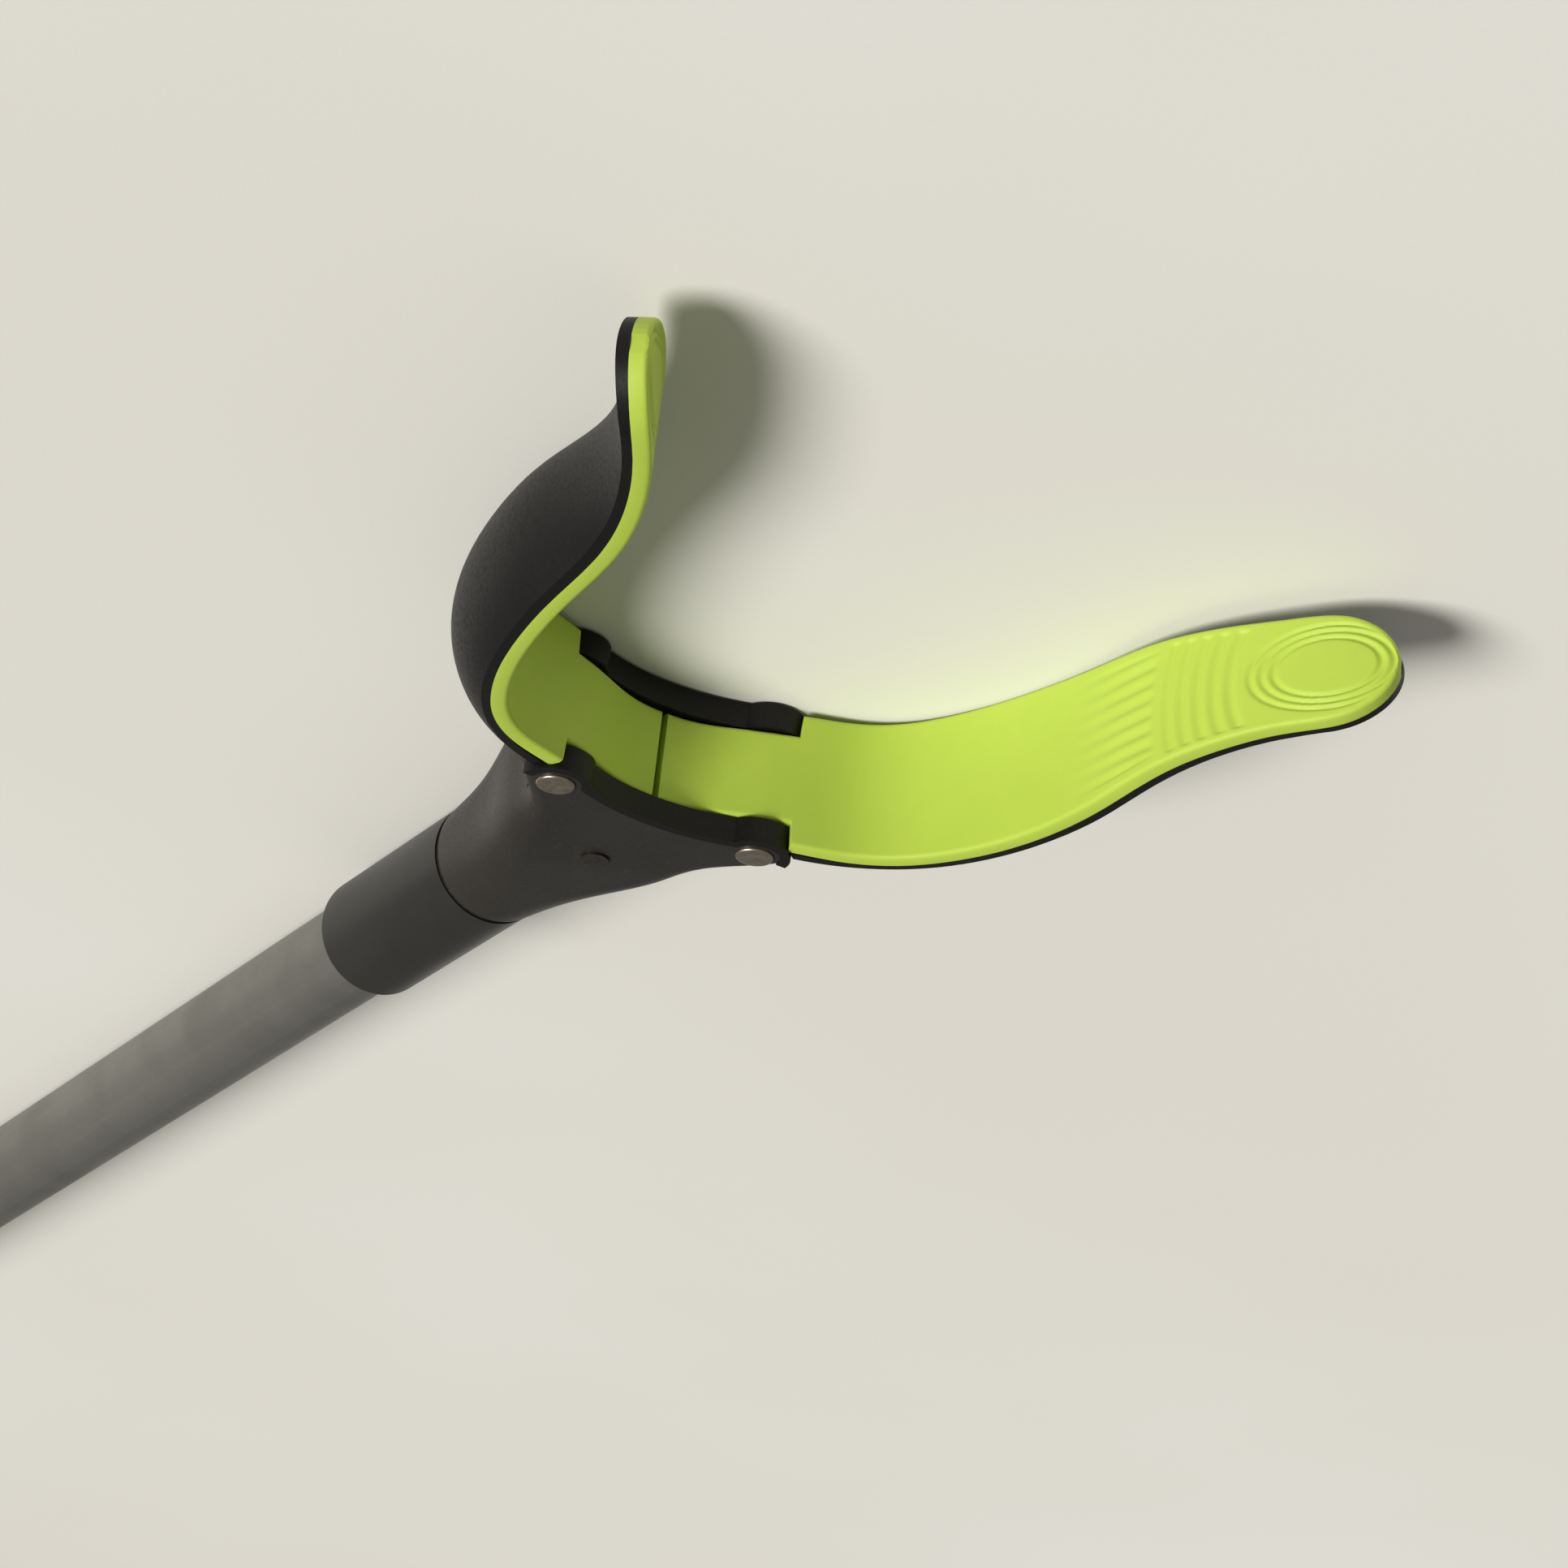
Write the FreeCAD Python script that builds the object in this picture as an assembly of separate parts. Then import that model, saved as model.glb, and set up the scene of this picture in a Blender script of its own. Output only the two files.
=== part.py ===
"""Rotating-head reacher: long tube, pistol grip with trigger, swivelling two-jaw head.

Frame: millimetres, +X along the tube to the jaw tips, +Z through the thickness of the tool,
grip towards -Y. The origin is the centre of the hang hole in the butt, on the tube's axis.
"""
import FreeCAD, Part
import math
import os

V = FreeCAD.Vector

# ---------------------------------------------------------------- driving dimensions
OVERALL_LENGTH = 813.0       # butt end to jaw tips, a 32 inch reacher
BUTT_REACH = 9.0             # hang hole centre to butt end
TOOL_HALF_THICKNESS = 13.7   # half thickness of handle and jaws: the tool lies flat on both

GAP = 0.3                    # clearance between pieces that move past each other
RUN_FIT = 0.1                # radial running clearance of pins, rod and spindle

# tube and pull rod
TUBE_RADIUS = 9.5
TUBE_WALL = 1.0
ROD_RADIUS = 2.0
KNOB_RADIUS = 3.6
KNOB_LENGTH = 3.0

# collar and swivel
COLLAR_WALL = 2.1
COLLAR_EDGE = 1.5            # rounding of the collar's rear end
COLLAR_LENGTH = 46.0
WASHER_LENGTH = 1.0
SPINDLE_RADIUS = 5.2
FLANGE_RADIUS = 7.6
FLANGE_LENGTH = 4.0
STOP_HEIGHT = 1.0
SPINDLE_NOSE = 1.5           # spindle ahead of its flange
FLANGE_PLACE = 12.0          # flange behind the neck's end
SHOULDER_LENGTH = 5.0
CORE_PLUG_LENGTH = 18.0
SWIVEL_RANGE = 90.0
DETENT_Y = 7.0
DETENT_HALF_WIDTH = 1.2
DETENT_HALF_SPAN = 4.0
DETENT_NUB = 1.1
LEAF_THICKNESS = 0.5
POCKET_DEPTH = 2.4
LUG_HALF = 1.5

# head bracket, measured from the head's reference plane just in front of the jaw pivots
NECK_END = -62.0
PLATE_INNER = 8.6            # half gap between the plates
PLATE_OUTER = 12.9           # half thickness over the plates
LOBE_RADIUS = 6.2            # plate corner round each jaw pivot
PIVOT_X = -2.5
PIVOT_Y = 19.6
PIVOT_RADIUS = 2.0
RIVET_HEAD_RADIUS = 3.3
RIVET_HEAD = 0.6
CENTRE_HEAD_RADIUS = 2.4
CENTRE_HEAD = 0.5
FRONT_ARC_X = -2.8           # deepest point of the plates' hollow front edge
FLANK_WALL = 2.0
WINDOW_X = -16.0             # the sides are open from here forward
CAVITY_END = -41.0
RIM_DEPTH = 1.8
RIM_PROUD = 0.3
RIM_SETBACK = 0.8            # the front edge's ends behind the lobes' front
GUIDE_FRONT = -19.0
GUIDE_LENGTH = 19.0
GUIDE_HALF_WIDTH = 4.0
CENTRE_SCREW_X = -23.0
# half width of the bracket along its length: (share of the neck-to-pivot length, share of the flare)
FLARE = ((0.0, 0.0), (0.22, 0.06), (0.40, 0.20), (0.62, 0.38), (0.80, 0.50), (0.93, 0.86), (1.12, 1.0))

# jaws
JAW_LENGTH = 107.0           # reference plane to tips
JAW_OPENING = 137.6          # between the inner faces at the tips
JAW_CLOSING = 32.9           # swing of each jaw, degrees
LINER_THICKNESS = 2.8
SHELL_EDGE = 1.6
SHELL_CROWN = 6.5
JAW_BASE_WIDTH = 12.2        # half widths of the jaw
JAW_BELLY_WIDTH = TOOL_HALF_THICKNESS
JAW_PAD_WIDTH = 9.2
BASE_AHEAD = 5.5             # inner face at the plates' edge, from the pivot
BASE_BELOW = 1.2
HUB_RADIUS = 4.4
PALM_X = -4.0
CRANK_Y = 4.2
CRANK_PIN_RADIUS = 1.5
CRANK_INNER = 2.8
CRANK_OUTER = 5.6
CRANK_LUG_RADIUS = 2.6
CRANK_HALF_WIDTH = 1.8
PALM_WALL = 1.6
TIP_ROUND = 13.0
# inner face of a jaw from its base to its tip: shares of its reach and of its spread
JAW_FACE = ((0.064, 0.294), (0.186, 0.474), (0.327, 0.565), (0.477, 0.605), (0.624, 0.619),
            (0.758, 0.690), (0.890, 0.831), (1.0, 1.0))
# crown of the back at the same stations and at the base
CROWN = (1.0, 1.0, 1.0, 1.0, 0.95, 0.78, 0.50, 0.22, 0.06)

# yoke
ROD_TRAVEL = 9.6
YOKE_HALF = 2.4
SLOT_WALL = 1.3
SOCKET_HALF_WIDTH = 5.5
SOCKET_HALF_HEIGHT = 4.9
SOCKET_LENGTH = 8.8

# handle
HANDLE_WALL = 2.6
NOSE_WALL = 4.2
NOSE_X = 132.0
TUBE_START = 98.0
BUSH_LENGTH = 12.0
HANG_HOLE_RADIUS = 3.5
TRIGGER_X = 76.0
TRIGGER_SWING = 28.0
TRIGGER_HALF = 6.0
TRIGGER_PIN_RADIUS = 2.0
CLEVIS_PIN_RADIUS = 1.5
TONGUE_HALF = 2.6
SPRING_RADIUS = 4.6
SPRING_WIRE = 0.6
SPRING_REAR = 40.0
SPRING_TURNS = 7
SEAT_THICKNESS = 2.5
SEAT_RADIUS = 6.6
RIB = 3.0
SCREW_RADIUS = 1.6
SCREW_HEAD_RADIUS = 3.0
SCREW_DEPTH = 3.2            # seat of the screw heads below the handle's side
TUBE_PIN_X = 116.0
HANDLE_EDGE = 4.0
BOSS_RADIUS = 4.2
TRIGGER_WAY = (57.0, 96.5)
PAD_DEPTH = 1.2
PAD_CORNERS = ((12.0, -30.0, 6.0), (42.0, -30.0, 6.0), (33.0, -98.0, 6.0), (6.0, -98.0, 6.0))
TRIGGER_PAD_THICKNESS = 1.6
CLEVIS_HALF = 4.2
SPRING_COLLAR = 1.6          # seat of the spring on the clevis

# ---------------------------------------------------------------- derived places
HEAD_X = OVERALL_LENGTH - BUTT_REACH - JAW_LENGTH
TUBE_BORE = TUBE_RADIUS - TUBE_WALL
COLLAR_RADIUS = TUBE_RADIUS + COLLAR_WALL
COLLAR_FRONT = NECK_END - GAP - WASHER_LENGTH
COLLAR_REAR = COLLAR_FRONT - COLLAR_LENGTH
TUBE_FRONT = COLLAR_FRONT - SHOULDER_LENGTH
FLANGE_REAR = NECK_END + FLANGE_PLACE
CRANK_HALF = PLATE_INNER - GAP
CRANK_X = -ROD_TRAVEL - 2.0   # far enough back for the yoke to stay behind the liners
SOCKET_FRONT = CRANK_X - CRANK_LUG_RADIUS - 1.0
SOCKET_REAR = SOCKET_FRONT - SOCKET_LENGTH
SLOT_HALF = CRANK_PIN_RADIUS + GAP
TRIGGER_ARM = ROD_TRAVEL / (2 * math.tan(math.radians(TRIGGER_SWING / 2)))
CLEVIS_X = TRIGGER_X + ROD_TRAVEL / 2
TUBE_PIN_Y = TUBE_BORE - 2.2  # beside the pull rod
FAR = 400.0
KNOB_REAR = SOCKET_REAR + 2.2
CLEVIS_FRONT = CLEVIS_X + 16.0
CLEVIS_REAR = CLEVIS_X - 8.5
HANDLE_CORNERS = (
    (-BUTT_REACH, 11.0, 9.0),
    (24.0, TRIGGER_ARM + 6.8, 20.0),
    (94.0, TRIGGER_ARM + 9.8, 16.0),
    (NOSE_X, TUBE_RADIUS + NOSE_WALL, 5.0),
    (NOSE_X, -TUBE_RADIUS - NOSE_WALL, 5.0),
    (102.0, -15.5, 8.0),
    (50.0, -17.0, 9.0),
    (38.0, -106.0, 9.0),
    (-1.0, -106.0, 10.0),
    (6.0, -42.0, 30.0),
    (-BUTT_REACH, -12.0, 9.0),
)
SCREW_PLACES = ((18.0, 12.0), (104.0, TUBE_RADIUS + 8.0), (30.0, -40.0), (24.0, -92.0))
TRIGGER_CORNERS = (
    (-5.6, 5.6, 5.0),
    (5.6, 5.6, 5.0),
    (6.0, -TRIGGER_ARM - 13.0, 7.0),
    (12.5, -TRIGGER_ARM - 25.0, 5.0),
    (8.0, -TRIGGER_ARM - 41.0, 25.0),
    (8.0, -TRIGGER_ARM - 65.0, 25.0),
    (14.0, -TRIGGER_ARM - 80.0, 4.0),
    (6.0, -TRIGGER_ARM - 85.0, 5.0),
    (-5.0, -TRIGGER_ARM - 71.0, 12.0),
    (-5.0, -TRIGGER_ARM - 17.0, 12.0),
)
TRIGGER_PAD_SPAN = (-TRIGGER_ARM - 77.5, -TRIGGER_ARM - 27.0)


# ---------------------------------------------------------------- small builders
def export(name, shape, x=0.0):
    """Write one node, moved x along the tube; the head's nodes are drawn about their own plane."""
    piece = shape.copy()
    piece.translate(V(x, 0, 0))
    piece.exportStep("parts/" + name + ".step")


def box(x, y, z):
    """Box from three (low, high) pairs."""
    corner = V(x[0], y[0], z[0])
    return Part.makeBox(x[1] - x[0], y[1] - y[0], z[1] - z[0], corner)


def rod_x(radius, start, end, y=0.0, z=0.0):
    """Round bar along X."""
    return Part.makeCylinder(radius, end - start, V(start, y, z), V(1, 0, 0))


def rod_z(radius, low, high, x=0.0, y=0.0):
    """Round bar along Z."""
    return Part.makeCylinder(radius, high - low, V(x, y, low), V(0, 0, 1))


def mirrored(shape):
    """The same piece on the other side of the tube's axis."""
    return shape.mirror(V(0, 0, 0), V(0, 1, 0))


def slab(wire, low, high):
    """Flat plate of the wire's outline between two heights."""
    face = Part.Face(wire)
    face.translate(V(0, 0, low))
    return face.extrude(V(0, 0, high - low))


def rounded_outline(corners):
    """Closed outline of straight sides whose corners (x, y, radius) are rounded by arcs."""
    edges = []
    ends = []
    count = len(corners)
    for i in range(count):
        x, y, radius = corners[i]
        here = V(x, y, 0)
        before = V(corners[i - 1][0], corners[i - 1][1], 0) - here
        after = V(corners[(i + 1) % count][0], corners[(i + 1) % count][1], 0) - here
        before.normalize()
        after.normalize()
        half = before.getAngle(after) / 2
        reach = radius / math.tan(half)
        middle = before + after
        middle.normalize()
        top = here + middle * (radius / math.sin(half) - radius)
        ends.append((here + before * reach, top, here + after * reach))
    for i in range(count):
        start, top, end = ends[i]
        edges.append(Part.Arc(start, top, end).toShape())
        edges.append(Part.makeLine(end, ends[(i + 1) % count][0]))
    return Part.Wire(edges)


def curve(points):
    """Smooth curve through points."""
    spline = Part.BSplineCurve()
    spline.interpolate([V(*p) for p in points])
    return spline


def capsule(p, q, radius, low, high):
    """Plate with parallel sides and round ends at p and q."""
    shape = rod_z(radius, low, high, p[0], p[1])
    shape = shape.fuse(rod_z(radius, low, high, q[0], q[1]))
    length = math.hypot(q[0] - p[0], q[1] - p[1])
    bar = box((0, length), (-radius, radius), (low, high))
    bar.rotate(V(0, 0, 0), V(0, 0, 1), math.degrees(math.atan2(q[1] - p[1], q[0] - p[0])))
    bar.translate(V(p[0], p[1], 0))
    return shape.fuse(bar)


# ---------------------------------------------------------------- tube, collar, swivel core
def make_tube():
    tube = rod_x(TUBE_RADIUS, TUBE_START, HEAD_X + TUBE_FRONT)
    tube = tube.cut(rod_x(TUBE_BORE, TUBE_START - 1, HEAD_X + TUBE_FRONT + 1))
    pin_hole = rod_z(SCREW_RADIUS, -FAR, FAR, TUBE_PIN_X, TUBE_PIN_Y)
    return tube.cut(pin_hole)


def make_collar():
    sleeve = rod_x(COLLAR_RADIUS, COLLAR_REAR, COLLAR_FRONT)
    rear_edge = [e for e in sleeve.Edges if abs(e.CenterOfMass.x - COLLAR_REAR) < 0.01]
    sleeve = sleeve.makeFillet(COLLAR_EDGE, rear_edge)
    return sleeve.cut(rod_x(TUBE_RADIUS, COLLAR_REAR - 1, COLLAR_FRONT + 1))


def make_swivel_core():
    """Plug in the tube, shoulder against its end, spindle and captive flange in the neck."""
    core = rod_x(TUBE_BORE, TUBE_FRONT - CORE_PLUG_LENGTH, TUBE_FRONT)
    core = core.fuse(rod_x(TUBE_RADIUS, TUBE_FRONT, COLLAR_FRONT))
    flange_front = FLANGE_REAR + FLANGE_LENGTH
    core = core.fuse(rod_x(SPINDLE_RADIUS, COLLAR_FRONT, flange_front + SPINDLE_NOSE))
    core = core.fuse(rod_x(FLANGE_RADIUS, FLANGE_REAR, flange_front))
    lug_top = FLANGE_RADIUS + STOP_HEIGHT
    lug = box((FLANGE_REAR, flange_front), (0, lug_top), (-LUG_HALF, LUG_HALF))
    core = core.fuse(lug)
    core = core.cut(rod_x(ROD_RADIUS + RUN_FIT, -FAR, FAR))
    pocket = box((COLLAR_FRONT - POCKET_DEPTH, COLLAR_FRONT + 1),
                 (DETENT_Y - DETENT_HALF_WIDTH - 0.2, DETENT_Y + DETENT_HALF_WIDTH + 0.2),
                 (-DETENT_HALF_SPAN - 0.2, DETENT_HALF_SPAN + 0.2))
    return core.cut(pocket).removeSplitter()


def make_detent_leaf():
    """Bowed steel leaf whose round nub drops into a notch of the neck at each stop."""
    width = (DETENT_Y - DETENT_HALF_WIDTH, DETENT_Y + DETENT_HALF_WIDTH)
    back = COLLAR_FRONT - POCKET_DEPTH
    bow = POCKET_DEPTH - LEAF_THICKNESS
    foot = V(back, width[0], DETENT_HALF_SPAN)
    top = V(back + bow, width[0], 0)
    inner = Part.Arc(V(back, width[0], -DETENT_HALF_SPAN), top, foot).toShape()
    lift = V(LEAF_THICKNESS, 0, 0)
    outer = Part.Arc(foot + lift, top + lift, V(back, width[0], -DETENT_HALF_SPAN) + lift).toShape()
    ends = [Part.makeLine(foot, foot + lift)]
    ends.append(Part.makeLine(V(back, width[0], -DETENT_HALF_SPAN) + lift,
                              V(back, width[0], -DETENT_HALF_SPAN)))
    leaf = Part.Face(Part.Wire([inner, ends[0], outer, ends[1]]))
    leaf = leaf.extrude(V(0, width[1] - width[0], 0))
    nub = Part.makeSphere(DETENT_NUB, V(COLLAR_FRONT, DETENT_Y, 0))
    nub = nub.fuse(rod_x(DETENT_NUB, COLLAR_FRONT, NECK_END + 0.2, DETENT_Y))
    return leaf.fuse(nub).removeSplitter()


def make_washer():
    washer = rod_x(COLLAR_RADIUS - 0.4, COLLAR_FRONT, COLLAR_FRONT + WASHER_LENGTH)
    return washer.cut(rod_x(TUBE_RADIUS, -FAR, FAR))


# ---------------------------------------------------------------- head bracket
def neck_section(x, half_y, half_z, radius):
    """Rounded rectangle across the tube's axis."""
    y = half_y - radius
    z = half_z - radius
    bend = radius * math.sqrt(0.5)
    edges = []
    for turn in range(4):
        sy = (1, -1, -1, 1)[turn]
        sz = (1, 1, -1, -1)[turn]
        first = V(x, sy * half_y, sz * z)
        second = V(x, sy * y, sz * half_z)
        if turn % 2:
            first, second = second, first
        middle = V(x, sy * (y + bend), sz * (z + bend))
        edges.append((first, middle, second))
    wire = []
    for i in range(4):
        wire.append(Part.Arc(*edges[i]).toShape())
        wire.append(Part.makeLine(edges[i][2], edges[(i + 1) % 4][0]))
    return Part.Wire(wire)


def flare_width(share):
    """Half width at a share of the length, by straight steps between the flare's stations."""
    for (s0, f0), (s1, f1) in zip(FLARE, FLARE[1:]):
        if share <= s1:
            part = f0 + (f1 - f0) * (share - s0) / (s1 - s0)
            return COLLAR_RADIUS + part * (PIVOT_Y + LOBE_RADIUS - COLLAR_RADIUS)
    return PIVOT_Y + LOBE_RADIUS


def make_bracket_block():
    """Smooth flared block that the two half shells are cut from."""
    sections = []
    span = PIVOT_X - NECK_END
    for share, part in FLARE:
        x = NECK_END + share * span
        half_y = flare_width(share)
        half_z = COLLAR_RADIUS + min(1.0, share * 1.6) * (PLATE_OUTER - COLLAR_RADIUS)
        radius = half_z * (0.985 - 0.72 * min(1.0, share * 1.15))
        sections.append(neck_section(x, half_y, half_z, radius))
    block = Part.makeLoft(sections, True, False)
    straight = neck_section(NECK_END + 1.12 * span, flare_width(1.12), PLATE_OUTER,
                            PLATE_OUTER * 0.265)
    nose = Part.Face(straight).extrude(V(12, 0, 0))
    return block.fuse(nose)


def front_arc_radius():
    """Radius of the hollow front edge, which runs from lobe to lobe through FRONT_ARC_X."""
    drop = PIVOT_X + LOBE_RADIUS - RIM_SETBACK - FRONT_ARC_X
    return (PIVOT_Y ** 2 + drop ** 2) / (2 * drop)


def plate_mask(offset, low, high):
    """Region behind the hollow front edge, set back by offset, with round lobes at the pivots."""
    arc = front_arc_radius()
    body = box((NECK_END - 1, PIVOT_X + LOBE_RADIUS), (-PIVOT_Y, PIVOT_Y), (low, high))
    body = body.cut(rod_z(arc + offset, low - 1, high + 1, FRONT_ARC_X + arc, 0))
    for y in (PIVOT_Y, -PIVOT_Y):
        body = body.fuse(rod_z(LOBE_RADIUS - offset, low, high, PIVOT_X, y))
        side = sorted((y, y * (1 + LOBE_RADIUS / PIVOT_Y)))
        body = body.fuse(box((NECK_END - 1, PIVOT_X), side, (low, high)))
    return body


def make_cavity():
    """Hollow between the plates: closed flanks at the rear, open sides round the jaws."""
    rear = WINDOW_X
    points = []
    span = PIVOT_X - NECK_END
    steps = 5
    for i in range(steps + 1):
        x = CAVITY_END + (rear - CAVITY_END) * i / steps
        points.append((x, flare_width((x - NECK_END) / span) - FLANK_WALL))
    edges = []
    outline = points + [(x, -y) for x, y in reversed(points)]
    for i in range(len(outline)):
        a = V(outline[i][0], outline[i][1], -PLATE_INNER)
        b = V(outline[(i + 1) % len(outline)][0], outline[(i + 1) % len(outline)][1], -PLATE_INNER)
        edges.append(Part.makeLine(a, b))
    hollow = Part.Face(Part.Wire(edges)).extrude(V(0, 0, 2 * PLATE_INNER))
    front = box((rear, 30), (-FAR, FAR), (-PLATE_INNER, PLATE_INNER))
    return hollow.fuse(front)


def make_neck_bore():
    """Seat of the swivel core: bearing, groove for its flange, sector for its stop lug."""
    flange_front = FLANGE_REAR + FLANGE_LENGTH
    bore = rod_x(SPINDLE_RADIUS + RUN_FIT, NECK_END - 1, FLANGE_REAR)
    bore = bore.fuse(rod_x(SPINDLE_RADIUS + GAP, FLANGE_REAR, CAVITY_END + 1))
    bore = bore.fuse(rod_x(FLANGE_RADIUS + GAP, FLANGE_REAR - GAP, flange_front + GAP))
    stop = FLANGE_RADIUS + STOP_HEIGHT + GAP
    lug_angle = math.degrees(math.atan2(LUG_HALF + GAP, FLANGE_RADIUS))
    sector = Part.makeCylinder(stop, FLANGE_LENGTH + 2 * GAP, V(0, 0, 0), V(0, 0, 1),
                               SWIVEL_RANGE + 2 * lug_angle)
    sector.rotate(V(0, 0, 0), V(0, 0, 1), -SWIVEL_RANGE - lug_angle)
    # its own X becomes Y and its own Y becomes Z, so that the sector runs from the lug towards -Z
    sector.rotate(V(0, 0, 0), V(1, 1, 1), 120)
    sector.translate(V(FLANGE_REAR - GAP, 0, 0))
    bore = bore.fuse(sector)
    for turn in (0, 90):
        notch = Part.makeSphere(DETENT_NUB + GAP, V(NECK_END, DETENT_Y, 0))
        notch.rotate(V(0, 0, 0), V(1, 0, 0), -turn)
        bore = bore.fuse(notch)
    return bore


def make_bracket():
    block = make_bracket_block()
    block = block.common(plate_mask(RIM_DEPTH, -FAR, FAR))
    block = block.cut(make_cavity())
    block = block.cut(make_neck_bore())
    for y in (PIVOT_Y, -PIVOT_Y):
        block = block.cut(rod_z(PIVOT_RADIUS, -FAR, FAR, PIVOT_X, y))
        for low, high in ((PLATE_OUTER, FAR), (-FAR, -PLATE_OUTER)):
            block = block.cut(rod_z(RIVET_HEAD_RADIUS, low, high, PIVOT_X, y))
    block = block.cut(rod_z(SCREW_RADIUS, -FAR, FAR, CENTRE_SCREW_X, 0))
    for low, high in ((PLATE_OUTER, FAR), (-FAR, -PLATE_OUTER)):
        block = block.cut(rod_z(CENTRE_HEAD_RADIUS, low, high, CENTRE_SCREW_X, 0))
    upper = block.common(box((-FAR, FAR), (-FAR, FAR), (0, FAR)))
    lower = block.common(box((-FAR, FAR), (-FAR, FAR), (-FAR, 0)))
    return upper, lower


def make_rim(low, high):
    """Dark edge strip along the hollow front of one plate, with round ends over the lobes."""
    strip = plate_mask(0, low, high).cut(plate_mask(RIM_DEPTH, low - 1, high + 1))
    keep = box((WINDOW_X, FAR), (-PIVOT_Y - LOBE_RADIUS, PIVOT_Y + LOBE_RADIUS), (low, high))
    strip = strip.common(keep)
    for side in (1, -1):
        behind = box((-FAR, PIVOT_X), (PIVOT_Y, FAR), (low - 1, high + 1))
        if side < 0:
            behind = mirrored(behind)
        strip = strip.cut(behind)
    return strip.removeSplitter()


def make_rivet(y):
    """Jaw pivot: a rivet through both plates, with a flat domed head on each side."""
    shaft = rod_z(PIVOT_RADIUS, -PLATE_OUTER, PLATE_OUTER, PIVOT_X, y)
    top = PLATE_OUTER + RIVET_HEAD
    head = rod_z(RIVET_HEAD_RADIUS, PLATE_OUTER, top, PIVOT_X, y)
    edge = [e for e in head.Edges if abs(e.CenterOfMass.z - top) < 0.01]
    head = head.makeFillet(RIVET_HEAD * 0.7, edge)
    return shaft.fuse(head).fuse(head.mirror(V(0, 0, 0), V(0, 0, 1))).removeSplitter()


def make_guide(low, high):
    """Rail inside one plate that keeps the yoke's socket on the axis."""
    rail = box((GUIDE_FRONT - GUIDE_LENGTH, GUIDE_FRONT), (-GUIDE_HALF_WIDTH, GUIDE_HALF_WIDTH),
               (low, high))
    hole = rod_z(SCREW_RADIUS, low - 1, high + 1, CENTRE_SCREW_X, 0)
    return rail.cut(hole)


def make_centre_screws():
    """One short screw per plate, into the rail behind it."""
    bottom = SOCKET_HALF_HEIGHT + 2 * GAP
    screw = rod_z(SCREW_RADIUS, bottom, PLATE_OUTER, CENTRE_SCREW_X, 0)
    head = rod_z(CENTRE_HEAD_RADIUS, PLATE_OUTER, PLATE_OUTER + CENTRE_HEAD, CENTRE_SCREW_X, 0)
    screw = screw.fuse(head)
    screw = screw.removeSplitter()
    return Part.makeCompound([screw, screw.mirror(V(0, 0, 0), V(0, 0, 1))])


# ---------------------------------------------------------------- jaws
def jaw_face_points():
    """Inner face in the jaw plane: palm seam, base at the plates' edge, then the spoon to the tip."""
    base = (PIVOT_X + BASE_AHEAD, PIVOT_Y - BASE_BELOW)
    tip = (JAW_LENGTH, JAW_OPENING / 2)
    points = [(PALM_X, GAP + 0.05), (PALM_X + 1.6, base[1] * 0.45), base]
    for along, out in JAW_FACE:
        x = base[0] + along * (tip[0] - base[0])
        y = base[1] + out * (tip[1] - base[1])
        points.append((x, y))
    return points


def jaw_face():
    return curve([(x, y, 0) for x, y in jaw_face_points()])


def offset_point(face, parameter, distance):
    """Point behind the inner face, on the back's side."""
    here = face.value(parameter)
    along = face.tangent(parameter)[0]
    return V(here.x - along.y * distance, here.y + along.x * distance, 0)


def face_parameters(face, first, count):
    """Evenly spaced parameters from the face point numbered first to the tip."""
    x, y = jaw_face_points()[first]
    start = face.parameter(V(x, y, 0))
    end = face.LastParameter
    return [start + (end - start) * i / (count - 1) for i in range(count)]


def band(face, near, far, first, last_share=1.0):
    """Outline between two distances behind the inner face, from point first towards the tip."""
    parameters = face_parameters(face, first, 18)
    parameters = parameters[:max(2, int(round(17 * last_share)) + 1)]
    sides = []
    for distance in (near, far):
        sides.append([offset_point(face, p, distance) for p in parameters])
    inner = curve([(p.x, p.y, 0) for p in sides[0]]).toShape()
    outer = curve([(p.x, p.y, 0) for p in reversed(sides[1])]).toShape()
    ends = [Part.makeLine(sides[0][-1], sides[1][-1]), Part.makeLine(sides[1][0], sides[0][0])]
    return Part.Wire([inner, ends[0], outer, ends[1]])


def width_at(x):
    """Half width of the jaw at a place along the tube: base, belly, then the narrower pad."""
    share = max(0.0, x / JAW_LENGTH)
    if share < 0.33:
        lift = math.sin(share / 0.33 * math.pi / 2)
        return JAW_BASE_WIDTH + (JAW_BELLY_WIDTH - JAW_BASE_WIDTH) * lift
    fall = (1 - math.cos((share - 0.33) / 0.67 * math.pi)) / 2
    return JAW_BELLY_WIDTH + (JAW_PAD_WIDTH - JAW_BELLY_WIDTH) * fall


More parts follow.
